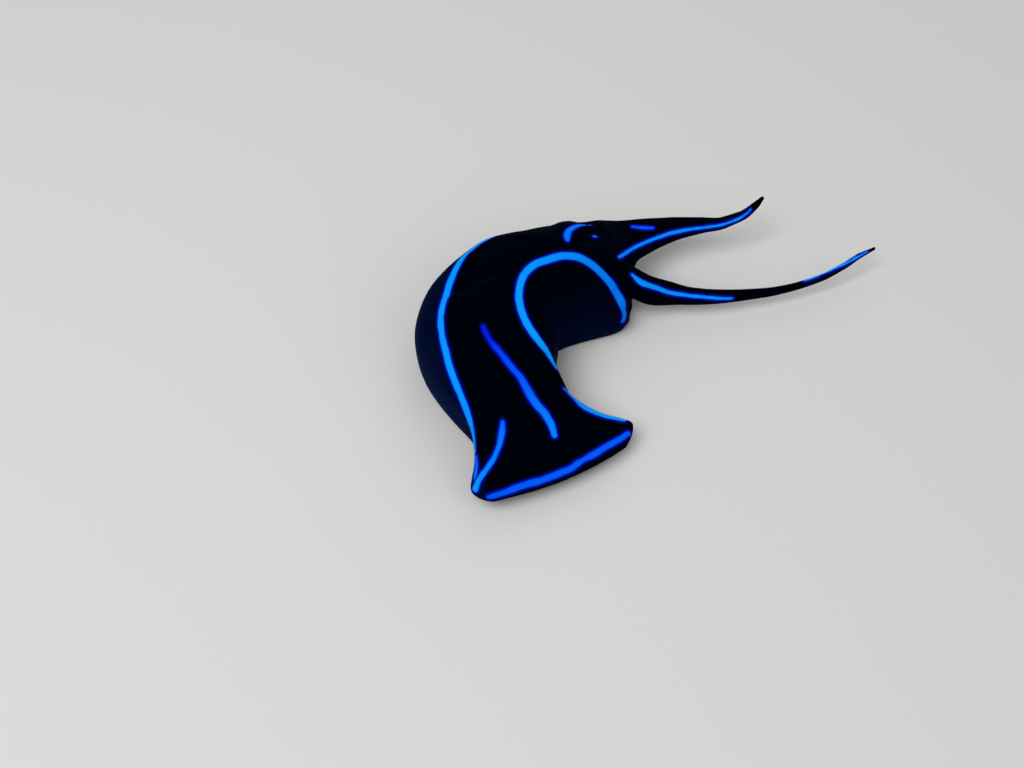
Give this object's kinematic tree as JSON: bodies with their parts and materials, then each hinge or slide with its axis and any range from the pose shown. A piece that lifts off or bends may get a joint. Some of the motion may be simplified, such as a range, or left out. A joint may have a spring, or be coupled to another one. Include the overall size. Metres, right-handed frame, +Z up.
{
  "type": "blue velvet headshield slug",
  "caption": "Life-size still model of a black sea slug with electric-blue lines, a T-shaped headshield, folded parapodia and forked tails, crawling in a curve.",
  "frame": {"origin": "centre of the bounding box on the ground under the animal", "axes": "+X to the tail tips, +Y from the head's side of the bend to its outer side, +Z up from the ground"},
  "size_m": [0.0478, 0.0354, 0.0094],
  "materials": {
    "velvet_skin": "matt velvet black with electric-blue lines",
    "sole_skin": "soft matt black",
    "bristle": "pale, fine sensory bristles"
  },
  "bodies": {
    "root": {"headshield": "velvet_skin", "head": "velvet_skin", "posterior_shield": "velvet_skin", "parapodium_left_front": "velvet_skin", "parapodium_left_middle": "velvet_skin", "parapodium_left_rear": "velvet_skin", "parapodium_right_front": "velvet_skin", "parapodium_right_middle": "velvet_skin", "parapodium_right_rear": "velvet_skin", "trunk_front": "velvet_skin", "trunk_middle": "velvet_skin", "trunk_rear": "velvet_skin", "tail_left": "velvet_skin", "tail_right": "velvet_skin", "foot_front": "sole_skin", "foot_middle": "sole_skin", "foot_rear": "sole_skin"}
  },
  "joints": []
}
